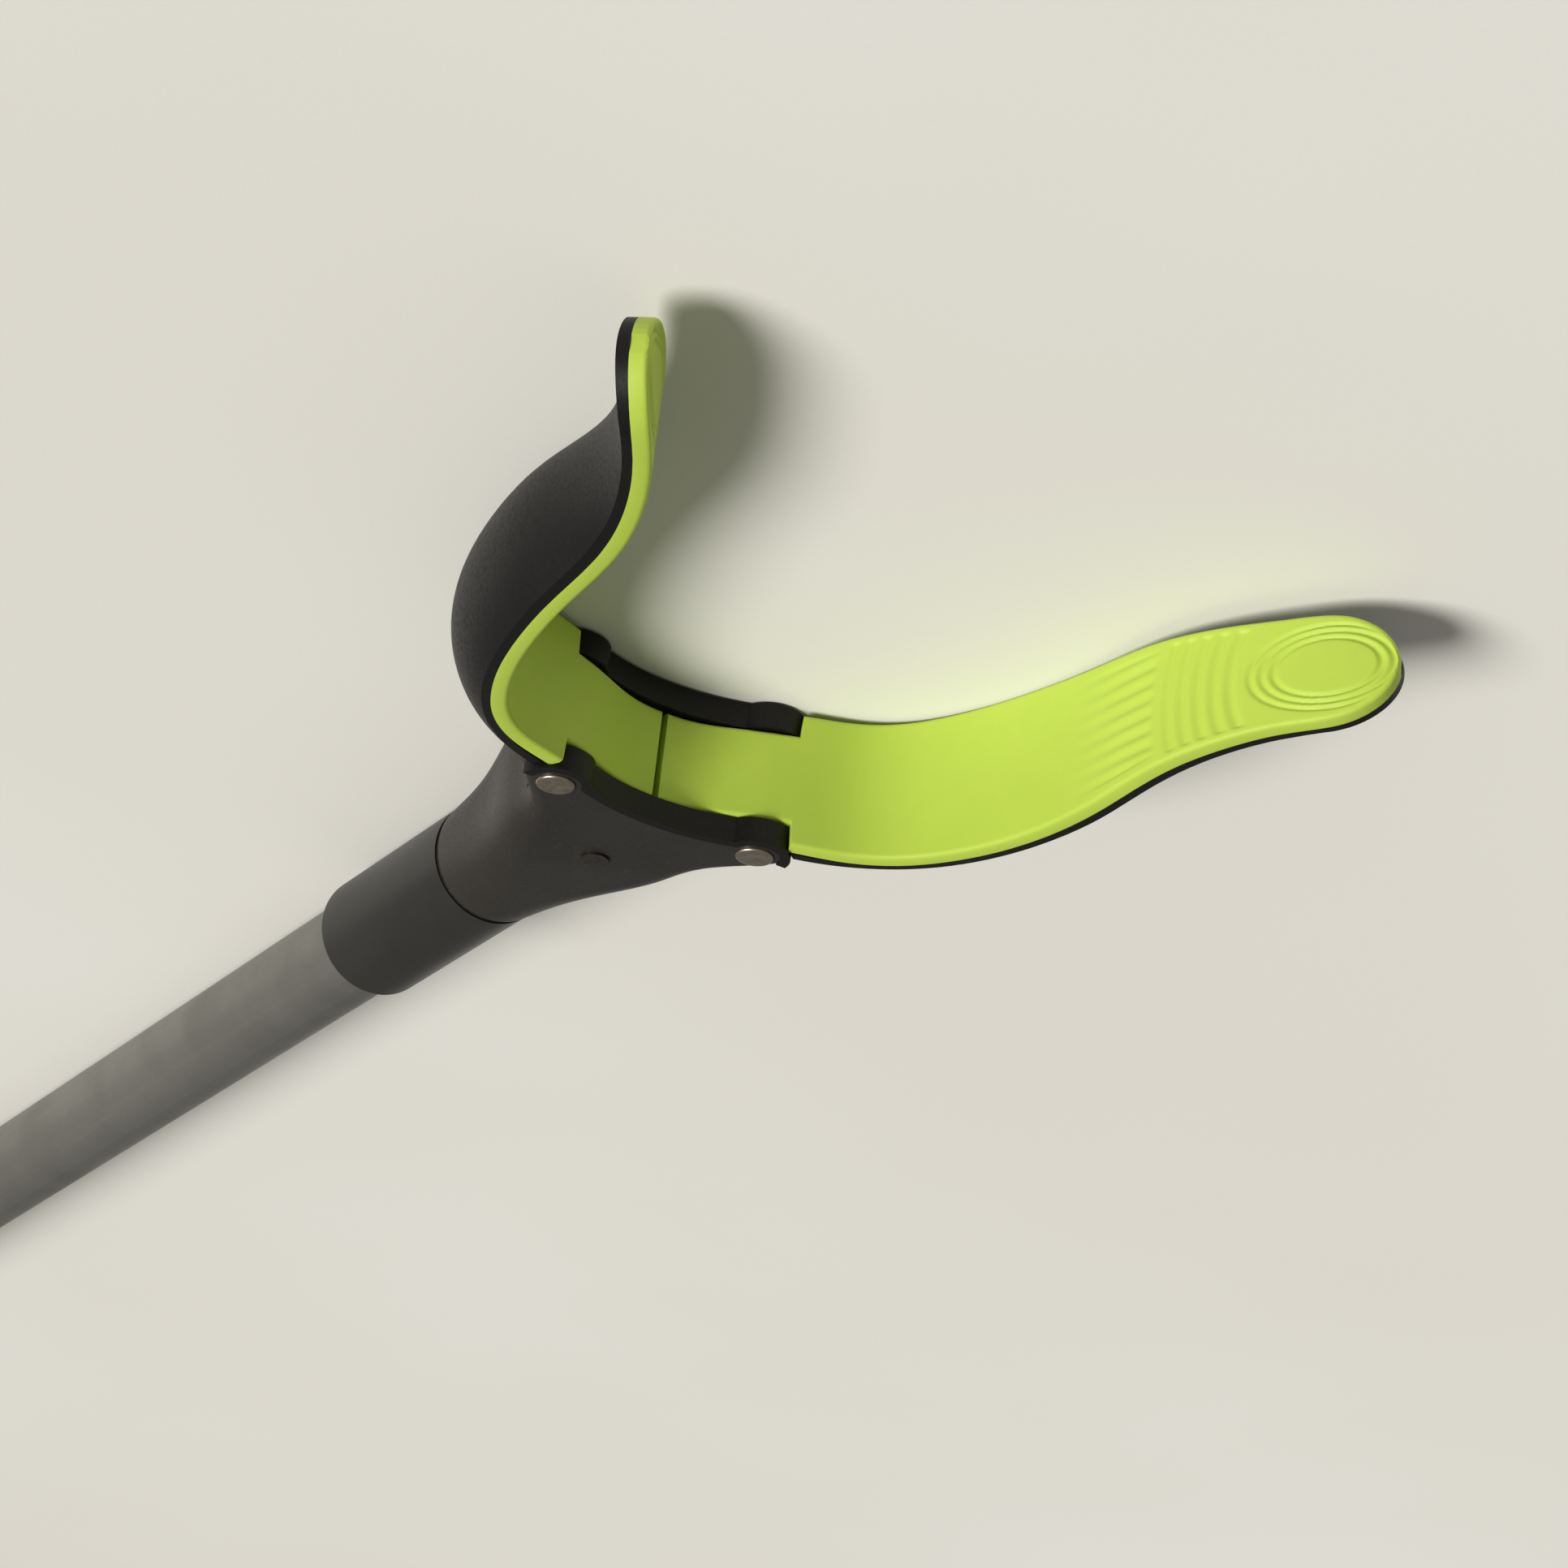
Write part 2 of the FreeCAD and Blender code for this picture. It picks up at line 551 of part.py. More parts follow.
def width_mask(face):
    """Outline of the jaw seen square to its tip, as a solid right through the jaw plane."""
    tip = face.value(face.LastParameter)
    along = face.tangent(face.LastParameter)[0]
    slope = along.y / along.x

    def square(point):
        """Where the line through a point, square to the tip, meets the tube's axis."""
        return point.x + point.y * slope

    reach = TIP_ROUND * (along.x + along.y * slope)
    start = square(tip) - reach
    side = [(-60.0, JAW_BASE_WIDTH)]
    for parameter in face_parameters(face, 2, 14):
        point = face.value(parameter)
        if square(point) < start - 4:
            side.append((square(point), width_at(point.x)))
    pad = width_at(JAW_LENGTH - TIP_ROUND)
    for degrees in (0, 20, 38, 54, 68, 80, 90):
        turn = math.radians(degrees)
        side.append((start + reach * math.sin(turn), pad * math.cos(turn)))
    points = [(x, 0, z) for x, z in side] + [(x, 0, -z) for x, z in reversed(side[:-1])]
    outline = curve(points).toShape()
    back = Part.makeLine(V(*points[-1]), V(*points[0]))
    mask = Part.Face(Part.Wire([outline, back]))
    through = V(-slope, 1, 0) * (FAR / 2)
    mask.translate(-through)
    return mask.extrude(through * 2)


def narrow_to_plates(shape):
    """Keep only what fits between the plates near the pivot and across the palm."""
    reach = LOBE_RADIUS + GAP + 0.1
    for side in (1, -1):
        low, high = sorted((side * CRANK_HALF, side * FAR))
        shape = shape.cut(rod_z(reach, low, high, PIVOT_X, PIVOT_Y))
        between = ((-FAR, PIVOT_X + 2 * LOBE_RADIUS), (-FAR, PIVOT_Y - BASE_BELOW))
        shape = shape.cut(box(between[0], between[1], (low, high)))
    return shape


def make_liner():
    """Soft lime lining: palm half between the plates and the whole inner face of the spoon."""
    face = jaw_face()
    outline = band(face, 0, LINER_THICKNESS, 0)
    liner = slab(outline, -FAR / 4, FAR / 4)
    liner = liner.common(width_mask(face))
    return narrow_to_plates(liner)


def back_section(face, parameter, width, crown):
    """Cross section of the jaw's back: flat against the liner, thin edges, crowned middle."""
    origin = offset_point(face, parameter, LINER_THICKNESS)
    edge = offset_point(face, parameter, LINER_THICKNESS + SHELL_EDGE)
    peak = offset_point(face, parameter, LINER_THICKNESS + SHELL_EDGE + crown)
    lift = V(0, 0, width)
    wire = [Part.makeLine(origin - lift, origin + lift)]
    wire.append(Part.makeLine(origin + lift, edge + lift))
    wire.append(Part.Arc(edge + lift, peak, edge - lift).toShape())
    wire.append(Part.makeLine(edge - lift, origin - lift))
    return Part.Wire(wire)


def crank_angle():
    return math.atan2(PIVOT_X - CRANK_X, PIVOT_Y - CRANK_Y)


def crank_length():
    return math.hypot(PIVOT_X - CRANK_X, PIVOT_Y - CRANK_Y)


def make_jaw_back():
    """Black back of the left jaw with its hub, palm wall and forked crank."""
    face = jaw_face()
    stations = face_parameters(face, 2, len(CROWN))
    sections = []
    for parameter, crown in zip(stations, CROWN):
        width = width_at(face.value(parameter).x)
        sections.append(back_section(face, parameter, width, crown * SHELL_CROWN))
    back = Part.makeLoft(sections, True, False)
    back = back.common(width_mask(face))
    palm_outline = band(face, LINER_THICKNESS, LINER_THICKNESS + PALM_WALL, 0, 0.25)
    palm = slab(palm_outline, -CRANK_HALF, CRANK_HALF)
    back = back.fuse(palm)
    back = back.fuse(rod_z(HUB_RADIUS, -CRANK_HALF, CRANK_HALF, PIVOT_X, PIVOT_Y))
    back = narrow_to_plates(back)
    yoke_room = YOKE_HALF + GAP
    room = box((-FAR, 0.5), (-FAR, PIVOT_Y - HUB_RADIUS - 0.2), (-yoke_room, yoke_room))
    back = back.cut(room)
    pivot = (PIVOT_X, PIVOT_Y)
    crank_pin = (CRANK_X, CRANK_Y)
    for low, high in ((CRANK_INNER, CRANK_OUTER), (-CRANK_OUTER, -CRANK_INNER)):
        back = back.fuse(capsule(pivot, crank_pin, CRANK_HALF_WIDTH, low, high))
        back = back.fuse(rod_z(CRANK_LUG_RADIUS, low, high, CRANK_X, CRANK_Y))
        foot = (PALM_X - LINER_THICKNESS - 0.8, CRANK_Y + 1.5)
        back = back.fuse(capsule(foot, crank_pin, PALM_WALL, low, high))
    back = back.cut(slab(band(face, -6, LINER_THICKNESS, 0), -FAR, FAR))
    back = back.cut(rod_z(PIVOT_RADIUS + RUN_FIT, -FAR, FAR, PIVOT_X, PIVOT_Y))
    back = back.cut(rod_z(CRANK_PIN_RADIUS, -FAR, FAR, CRANK_X, CRANK_Y))
    return back.removeSplitter()


def make_crank_pin():
    return rod_z(CRANK_PIN_RADIUS, -CRANK_OUTER, CRANK_OUTER, CRANK_X, CRANK_Y)


# ---------------------------------------------------------------- yoke, rod and knob
def cam_path():
    """Crank pin places in the yoke's own frame while the yoke and the jaw move evenly together."""
    path = []
    steps = 6
    for i in range(steps + 1):
        share = i / steps
        angle = crank_angle() + math.radians(JAW_CLOSING) * share
        x = PIVOT_X - crank_length() * math.sin(angle) + ROD_TRAVEL * share
        y = PIVOT_Y - crank_length() * math.cos(angle)
        path.append((x, y))
    return path


def make_yoke():
    """Sliding crosshead with two cam slots and a socket that holds the rod's knob."""
    path = cam_path()
    arms = None
    slots = None
    for p, q in zip(path, path[1:]):
        arm = capsule(p, q, SLOT_HALF + SLOT_WALL, -YOKE_HALF, YOKE_HALF)
        slot = capsule(p, q, SLOT_HALF, -FAR, FAR)
        arms = arm if arms is None else arms.fuse(arm)
        slots = slot if slots is None else slots.fuse(slot)
    web = box((SOCKET_REAR, CRANK_X + 0.5), (-SOCKET_HALF_WIDTH, SOCKET_HALF_WIDTH),
              (-YOKE_HALF, YOKE_HALF))
    yoke = arms.fuse(mirrored(arms)).fuse(web)
    socket = box((SOCKET_REAR, SOCKET_FRONT), (-SOCKET_HALF_WIDTH, SOCKET_HALF_WIDTH),
                 (-SOCKET_HALF_HEIGHT, SOCKET_HALF_HEIGHT))
    yoke = yoke.fuse(socket).cut(slots).cut(mirrored(slots))
    room = (KNOB_REAR - GAP, KNOB_REAR + KNOB_LENGTH + GAP)
    cavity = rod_x(KNOB_RADIUS + GAP, room[0], room[1])
    cavity = cavity.fuse(box(room, (-KNOB_RADIUS - GAP, KNOB_RADIUS + GAP), (0, FAR)))
    way = rod_x(ROD_RADIUS + GAP, SOCKET_REAR - 1, room[0] + 1)
    way = way.fuse(box((SOCKET_REAR - 1, room[0] + 1),
                       (-ROD_RADIUS - GAP, ROD_RADIUS + GAP), (0, FAR)))
    return yoke.cut(cavity).cut(way).removeSplitter()


def make_rod():
    return rod_x(ROD_RADIUS, CLEVIS_FRONT - 6, HEAD_X + KNOB_REAR)


def make_knob():
    return rod_x(KNOB_RADIUS, KNOB_REAR, KNOB_REAR + KNOB_LENGTH)


def make_clevis():
    """Block on the rod's rear end: tongue between the trigger's cheeks, stud for the spring."""
    tongue = box((CLEVIS_REAR, CLEVIS_FRONT), (-CLEVIS_HALF, CLEVIS_HALF), (-TONGUE_HALF, TONGUE_HALF))
    barrel = rod_x(CLEVIS_HALF, CLEVIS_X + 9.5, CLEVIS_FRONT)
    stud = rod_x(SPRING_RADIUS - 2 * SPRING_WIRE - 0.2, CLEVIS_REAR - 6, CLEVIS_REAR)
    seat = rod_x(SPRING_RADIUS + SPRING_WIRE, CLEVIS_REAR - SPRING_COLLAR, CLEVIS_REAR)
    clevis = tongue.fuse(barrel).fuse(stud).fuse(seat)
    clevis = clevis.cut(rod_x(ROD_RADIUS, CLEVIS_FRONT - 6, FAR))
    clevis = clevis.cut(rod_z(CLEVIS_PIN_RADIUS, -FAR, FAR, CLEVIS_X, 0))
    return clevis.removeSplitter()


def make_rod_bush():
    bush = rod_x(TUBE_BORE, TUBE_START, TUBE_START + BUSH_LENGTH)
    return bush.cut(rod_x(ROD_RADIUS + RUN_FIT, -FAR, FAR))


def make_spring():
    """Return spring between its seat in the handle and the clevis."""
    length = CLEVIS_REAR - SPRING_COLLAR - SPRING_REAR - SEAT_THICKNESS - 2 * SPRING_WIRE
    pitch = length / SPRING_TURNS
    helix = Part.makeHelix(pitch, length, SPRING_RADIUS - SPRING_WIRE)
    wire = Part.Wire(Part.makeCircle(SPRING_WIRE, V(SPRING_RADIUS - SPRING_WIRE, 0, 0), V(0, 1, 0)))
    coil = Part.Wire(helix).makePipeShell([wire], True, True)
    coil.rotate(V(0, 0, 0), V(0, 1, 0), 90)
    coil.translate(V(SPRING_REAR + SEAT_THICKNESS + SPRING_WIRE, 0, 0))
    return coil


def make_spring_seat():
    return rod_x(SEAT_RADIUS, SPRING_REAR, SPRING_REAR + SEAT_THICKNESS)


# ---------------------------------------------------------------- handle
def make_handle_half():
    """Upper half shell of the pistol grip, parting plane at z = 0."""
    outline = rounded_outline(HANDLE_CORNERS)
    block = slab(outline, 0, TOOL_HALF_THICKNESS)
    top = TOOL_HALF_THICKNESS
    edges = [e for e in block.Edges if abs(e.CenterOfMass.z - top) < 0.01
             and abs(e.BoundBox.ZLength) < 0.01]
    block = block.makeFillet(HANDLE_EDGE, edges)
    inner = Part.Face(outline).makeOffset2D(-HANDLE_WALL)
    hollow = inner.extrude(V(0, 0, TOOL_HALF_THICKNESS - HANDLE_WALL))
    core = block.cut(hollow)
    ribs = rod_z(HANG_HOLE_RADIUS + 3.0, 0, top - 1, 0, 0)
    for x, y in SCREW_PLACES:
        ribs = ribs.fuse(rod_z(BOSS_RADIUS, 0, top - 1, x, y))
    boss_bottom = TRIGGER_HALF + GAP
    saddle = TUBE_RADIUS + 2.5
    ribs = ribs.fuse(rod_z(TRIGGER_PIN_RADIUS + 2.4, boss_bottom, top - 1, TRIGGER_X, TRIGGER_ARM))
    ribs = ribs.fuse(box((TUBE_START, NOSE_X - 1), (-saddle, saddle), (0, top - 1)))
    seat_front = SPRING_REAR + SEAT_THICKNESS
    seat_ribs = box((SPRING_REAR - RIB, seat_front + RIB / 2), (-13, 13), (0, top - 1))
    ribs = ribs.fuse(seat_ribs.cut(rod_x(SPRING_RADIUS + 1.0, SPRING_REAR, FAR)))
    half = core.fuse(ribs.common(block))
    half = half.cut(rod_x(SEAT_RADIUS, SPRING_REAR, seat_front))
    half = half.cut(rod_x(TUBE_RADIUS, TUBE_START, FAR))
    half = half.cut(rod_z(HANG_HOLE_RADIUS, -FAR, FAR))
    half = half.cut(box(TRIGGER_WAY, (-30, -8), (-1, TRIGGER_HALF + 2 * GAP)))
    for x, y in SCREW_PLACES:
        half = half.cut(rod_z(SCREW_RADIUS, -1, top - 2.5, x, y))
    half = half.cut(rod_z(TRIGGER_PIN_RADIUS, -1, top - 2.0, TRIGGER_X, TRIGGER_ARM))
    half = half.cut(rod_z(SCREW_RADIUS, -1, top - 2.0, TUBE_PIN_X, TUBE_PIN_Y))
    pad = slab(rounded_outline(PAD_CORNERS), top - PAD_DEPTH, top + 1)
    return half.cut(pad).removeSplitter()


def make_grip_pad():
    return slab(rounded_outline(PAD_CORNERS), TOOL_HALF_THICKNESS - PAD_DEPTH, TOOL_HALF_THICKNESS)


def make_screws():
    """Screws from the lower half into the bosses of the upper half."""
    screws = []
    low = -TOOL_HALF_THICKNESS + SCREW_DEPTH
    for x, y in SCREW_PLACES:
        screw = rod_z(SCREW_RADIUS, low, TOOL_HALF_THICKNESS - 2.5, x, y)
        screw = screw.fuse(rod_z(SCREW_HEAD_RADIUS, low - 1.7, low, x, y))
        screws.append(screw.removeSplitter())
    return screws


def make_lower_half(upper):
    """Mirror of the upper half, with counterbores for the screw heads."""
    lower = upper.mirror(V(0, 0, 0), V(0, 0, 1))
    for x, y in SCREW_PLACES:
        lower = lower.cut(rod_z(SCREW_HEAD_RADIUS, -FAR, -TOOL_HALF_THICKNESS + SCREW_DEPTH, x, y))
    return lower


def to_trigger(shape):
    """Turn a piece drawn below the trigger's pivot to its rest pose, blade tilted forward."""
    shape.rotate(V(0, 0, 0), V(0, 0, 1), TRIGGER_SWING / 2)
    shape.translate(V(TRIGGER_X, TRIGGER_ARM, 0))
    return shape


def make_trigger():
    """Lever with a forked upper arm, which straddles the clevis, and a solid finger blade."""
    lever = slab(rounded_outline(TRIGGER_CORNERS), -TRIGGER_HALF, TRIGGER_HALF)
    fork = box((-FAR, FAR), (-TRIGGER_ARM - 7, -TRIGGER_ARM + 7),
               (-TONGUE_HALF - GAP, TONGUE_HALF + GAP))
    lever = lever.cut(fork)
    lever = lever.cut(rod_z(TRIGGER_PIN_RADIUS + RUN_FIT, -FAR, FAR))
    reach = TRIGGER_ARM / math.cos(math.radians(TRIGGER_SWING / 2))
    slot = capsule((0, -TRIGGER_ARM), (0, -reach), CLEVIS_PIN_RADIUS + GAP, -FAR, FAR)
    return to_trigger(lever.cut(slot).removeSplitter())


def make_trigger_pad():
    """Soft lime pad on the blade's front, lapped a little over its sides."""
    lever = slab(rounded_outline(TRIGGER_CORNERS), -TRIGGER_HALF, TRIGGER_HALF)
    grown = Part.Face(rounded_outline(TRIGGER_CORNERS)).makeOffset2D(TRIGGER_PAD_THICKNESS)
    grown.translate(V(0, 0, -TRIGGER_HALF - 1))
    pad = grown.extrude(V(0, 0, 2 * TRIGGER_HALF + 2))
    pad = pad.common(box((5.0, FAR), TRIGGER_PAD_SPAN, (-FAR, FAR)))
    return to_trigger(pad.cut(lever))


def make_all():
    os.makedirs("parts", exist_ok=True)
    export("tube", make_tube())
    export("collar", make_collar(), HEAD_X)
    export("swivel_core", make_swivel_core(), HEAD_X)
    export("detent_leaf", make_detent_leaf(), HEAD_X)
    export("swivel_washer", make_washer(), HEAD_X)
    upper, lower = make_bracket()
    export("bracket_upper", upper, HEAD_X)
    export("bracket_lower", lower, HEAD_X)
    rim = make_rim(PLATE_INNER, PLATE_OUTER + RIM_PROUD)
    export("rim_upper", rim, HEAD_X)
    export("rim_lower", rim.mirror(V(0, 0, 0), V(0, 0, 1)), HEAD_X)
    guide = make_guide(SOCKET_HALF_HEIGHT + GAP, PLATE_INNER)
    export("guide_upper", guide, HEAD_X)
    export("guide_lower", guide.mirror(V(0, 0, 0), V(0, 0, 1)), HEAD_X)
    export("centre_screws", make_centre_screws(), HEAD_X)
    liner = make_liner()
    back = make_jaw_back()
    pin = make_crank_pin()
    for side, turn in (("left", lambda s: s), ("right", mirrored)):
        export("jaw_back_" + side, turn(back), HEAD_X)
        export("jaw_liner_" + side, turn(liner), HEAD_X)
        export("crank_pin_" + side, turn(pin), HEAD_X)
        export("pivot_rivet_" + side, turn(make_rivet(PIVOT_Y)), HEAD_X)
    export("yoke", make_yoke(), HEAD_X)
    export("pull_rod", make_rod())
    export("rod_knob", make_knob(), HEAD_X)
    export("rod_clevis", make_clevis())
    clevis_pin_half = TRIGGER_HALF - 0.2
    export("clevis_pin", rod_z(CLEVIS_PIN_RADIUS, -clevis_pin_half, clevis_pin_half, CLEVIS_X, 0))
    export("rod_bush", make_rod_bush())
    export("return_spring", make_spring())
    export("spring_seat", make_spring_seat())
    half = make_handle_half()
    export("handle_upper", half)
    export("handle_lower", make_lower_half(half))
    pad = make_grip_pad()
    export("grip_pad_upper", pad)
    export("grip_pad_lower", pad.mirror(V(0, 0, 0), V(0, 0, 1)))
    export("handle_screws", Part.makeCompound(make_screws()))
    pin_reach = TOOL_HALF_THICKNESS - 2.0
    export("trigger_pin", rod_z(TRIGGER_PIN_RADIUS, -pin_reach, pin_reach, TRIGGER_X, TRIGGER_ARM))
    export("tube_pin", rod_z(SCREW_RADIUS, -pin_reach, pin_reach, TUBE_PIN_X, TUBE_PIN_Y))
    export("trigger", make_trigger())
    export("trigger_pad", make_trigger_pad())


make_all()
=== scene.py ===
import math

import bmesh
import bpy
import numpy as np
from mathutils import Matrix, Vector
from mathutils.bvhtree import BVHTree


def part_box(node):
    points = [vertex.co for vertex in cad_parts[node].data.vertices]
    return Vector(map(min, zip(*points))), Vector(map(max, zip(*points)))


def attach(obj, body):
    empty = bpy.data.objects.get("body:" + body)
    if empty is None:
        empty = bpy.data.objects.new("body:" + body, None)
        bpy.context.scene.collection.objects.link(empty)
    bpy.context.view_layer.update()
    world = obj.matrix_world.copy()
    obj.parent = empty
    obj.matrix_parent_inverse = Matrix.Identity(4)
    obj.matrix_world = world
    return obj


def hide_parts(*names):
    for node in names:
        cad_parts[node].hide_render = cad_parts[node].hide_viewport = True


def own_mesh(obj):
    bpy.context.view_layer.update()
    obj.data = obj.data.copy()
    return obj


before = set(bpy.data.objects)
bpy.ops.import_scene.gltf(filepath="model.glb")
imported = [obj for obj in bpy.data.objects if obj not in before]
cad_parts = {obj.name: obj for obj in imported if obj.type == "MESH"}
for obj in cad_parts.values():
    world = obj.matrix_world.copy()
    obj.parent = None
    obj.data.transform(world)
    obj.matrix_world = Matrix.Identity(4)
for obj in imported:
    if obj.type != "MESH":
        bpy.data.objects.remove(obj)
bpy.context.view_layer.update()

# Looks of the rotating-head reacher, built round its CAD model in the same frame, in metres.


# ---------------------------------------------------------------- table top under the tool
# A plain pale table on which the reacher lies flat on its side. It isn't part of the tool; its
# warm off-white paint is faintly uneven, and it catches the tool's soft shadow.
class Field:
    """One socket of a material. Arithmetic on it adds Math nodes; node() adds any other."""

    def __init__(self, tree, socket):
        self.tree = tree
        self.socket = socket

    def node(self, kind, settings=(), inputs=(), output=0):
        """Adds one node: its settings first, then the values or links of its sockets."""
        node = self.tree.nodes.new("ShaderNode" + kind)
        for name, value in dict(settings).items():
            setattr(node, name, value)
        for name, value in dict(inputs).items():
            if isinstance(value, Field):
                self.tree.links.new(value.socket, node.inputs[name])
            else:
                node.inputs[name].default_value = value
        return Field(self.tree, node.outputs[output])

    def maths(self, operation, *values):
        """A Math node of these values."""
        return self.node("Math", {"operation": operation}, dict(enumerate(values)))

    def __add__(self, other):
        return self.maths("ADD", self, other)

    def __sub__(self, other):
        return self.maths("SUBTRACT", self, other)

    def __rsub__(self, other):
        return self.maths("SUBTRACT", other, self)

    def __mul__(self, other):
        return self.maths("MULTIPLY", self, other)

    def __pow__(self, other):
        return self.maths("POWER", self, other)

    __radd__ = __add__
    __rmul__ = __mul__

    def between(self, low, high):
        """0 below low, 1 above high, smooth between."""
        return self.node("MapRange", {"interpolation_type": "SMOOTHSTEP"},
                         {"Value": self, "From Min": low, "From Max": high})

    def blend(self, first, second):
        """Mix of two colours by this mask."""
        return self.node("Mix", {"data_type": "RGBA"}, {0: self, 6: first, 7: second}, 2)

    def stretched(self, x, y, z):
        """This vector scaled per axis."""
        return self.node("VectorMath", {"operation": "MULTIPLY"}, {0: self, 1: (x, y, z)})

    def absolute(self):
        return self.maths("ABSOLUTE", self)

    def sine(self):
        return self.maths("SINE", self)

    def noise(self, scale, detail=3.0, roughness=0.5):
        """Cloudy value of this place."""
        return self.node("TexNoise", {}, {"Vector": self, "Scale": scale, "Detail": detail,
                                          "Roughness": roughness})

    def cells(self, scale):
        """Distance to the nearest of many scattered points."""
        return self.node("TexVoronoi", {}, {"Vector": self, "Scale": scale})

    def split(self):
        """The three parts of this vector."""
        return [self.node("SeparateXYZ", {}, {0: self}, i) for i in range(3)]

    def bump(self, strength, distance):
        """Normal of a surface with this height."""
        return self.node("Bump", {}, {"Height": self, "Strength": strength,
                                      "Distance": distance})


def rgb(r, g, b):
    """Linear colour of a paint given as it looks on screen, 0 to 255."""
    linear = []
    for value in (r, g, b):
        value = value / 255
        linear.append(value / 12.92 if value <= 0.04045 else ((value + 0.055) / 1.055) ** 2.4)
    return (*linear, 1.0)


def new_finish(name, **constants):
    """A material, its shader and a Field of the piece's own coordinates."""
    material = bpy.data.materials.new(name)
    material.use_nodes = True
    tree = material.node_tree
    shader = tree.nodes["Principled BSDF"]
    for socket, value in constants.items():
        shader.inputs[socket.replace("_", " ")].default_value = value
    place = Field(tree, None).node("TexCoord", {}, {}, 3)
    return material, shader, place


def connect(shader, **fields):
    """Feeds a shader's varying sockets."""
    for socket, field in fields.items():
        field.tree.links.new(field.socket, shader.inputs[socket.replace("_", " ")])


FLOOR_Z = -0.0137            # the lowest point of the tool lying flat
FLOOR_REACH = 60.0

table_mesh = bpy.data.meshes.new("table_top")
corners = [(x * FLOOR_REACH, y * FLOOR_REACH, FLOOR_Z)
           for x, y in ((-1, -1), (1, -1), (1, 1), (-1, 1))]
table_mesh.from_pydata(corners, [], [(0, 1, 2, 3)])
table_top = bpy.data.objects.new("table_top", table_mesh)
bpy.context.collection.objects.link(table_top)
paint, paint_shader, where = new_finish("pale_table_paint", Specular_IOR_Level=0.1)
cloud = where.noise(2.2, 4.0).between(0.35, 0.7)
grit = where.noise(900.0, 2.0)
connect(paint_shader, Base_Color=cloud.blend(rgb(231, 229, 222), rgb(225, 222, 213)),
        Roughness=0.75 + grit * 0.1, Normal=grit.bump(0.05, 0.0003))
table_mesh.materials.append(paint)


# ---------------------------------------------------------------- light and camera
# Soft studio light: one wide, distant lamp over the jaws' left side, which leaves the palm in
# half shade, and an even pale surround. The camera looks down on the head from ahead of it.
KEY_STRENGTH = 3.4
KEY_SPREAD = math.radians(24)        # a wide lamp gives soft shadows
SURROUND_STRENGTH = 0.25

key_data = bpy.data.lights.new("key_lamp", "SUN")
key_data.energy = KEY_STRENGTH
key_data.angle = KEY_SPREAD
key_data.color = (1.0, 0.992, 0.975)
key_lamp = bpy.data.objects.new("key_lamp", key_data)
toward_key = Vector((0.06, 0.74, 0.66))
key_lamp.rotation_euler = (-toward_key).to_track_quat("-Z", "Y").to_euler()
bpy.context.collection.objects.link(key_lamp)

world = bpy.data.worlds.new("pale_surround")
world.use_nodes = True
world.node_tree.nodes["Background"].inputs["Color"].default_value = rgb(240, 239, 235)
world.node_tree.nodes["Background"].inputs["Strength"].default_value = SURROUND_STRENGTH
bpy.context.scene.world = world
bpy.context.scene.view_settings.view_transform = "Standard"

camera_data = bpy.data.cameras.new("camera")
camera_data.lens = 97.23
camera_data.sensor_width = 36.0
camera_data.clip_start = 0.01
camera = bpy.data.objects.new("camera", camera_data)
right = Vector((0.53643, -0.83795, -0.10046))
up = Vector((0.32388, 0.31432, -0.89236))
back = Vector((0.77933, 0.44615, 0.44000))
camera.matrix_world = Matrix.Translation((1.2622, 0.3012, 0.3183)) @ Matrix(
    (right, up, back)).transposed().to_4x4()
bpy.context.collection.objects.link(camera)
bpy.context.scene.camera = camera


# ---------------------------------------------------------------- tube
# Drawn aluminium tube, anodised dark grey. Fine draw lines run along it, with a faint mottle
# from the dye and a few rubbed streaks.
def dress(node, material):
    """Puts a finish on one CAD node."""
    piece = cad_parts[node]
    piece.data.materials.clear()
    piece.data.materials.append(material)


anodised, shader, where = new_finish("dark_anodised_tube", Metallic=0.55,
                                     Specular_IOR_Level=0.5)
draw_lines = where.stretched(9.0, 1400.0, 1400.0).noise(1.0, 4.0, 0.6)
mottle = where.noise(60.0, 5.0).between(0.35, 0.7)
rubbed = where.stretched(14.0, 260.0, 260.0).noise(1.0, 3.0).between(0.62, 0.78)
tone = mottle.blend(rgb(120, 118, 111), rgb(111, 109, 102))
tone = (rubbed * 0.35).blend(tone, rgb(138, 136, 128))
connect(shader, Base_Color=tone, Roughness=0.36 + draw_lines * 0.16 + mottle * 0.05,
        Normal=(draw_lines * 0.6).bump(0.12, 0.0002))
dress("tube", anodised)


# ---------------------------------------------------------------- collar
# Moulded black sleeve pressed over the tube's front end. Its satin skin has a very fine grain
# and a slight sheen from handling.
satin_black, shader, where = new_finish("satin_black_collar", Specular_IOR_Level=0.35)
grain = where.noise(2600.0, 2.0, 0.6)
haze = where.noise(45.0, 4.0).between(0.3, 0.75)
connect(shader, Base_Color=haze.blend(rgb(38, 36, 33), rgb(43, 41, 38)),
        Roughness=0.34 + haze * 0.08 + grain * 0.06, Normal=grain.bump(0.10, 0.0001))
dress("collar", satin_black)


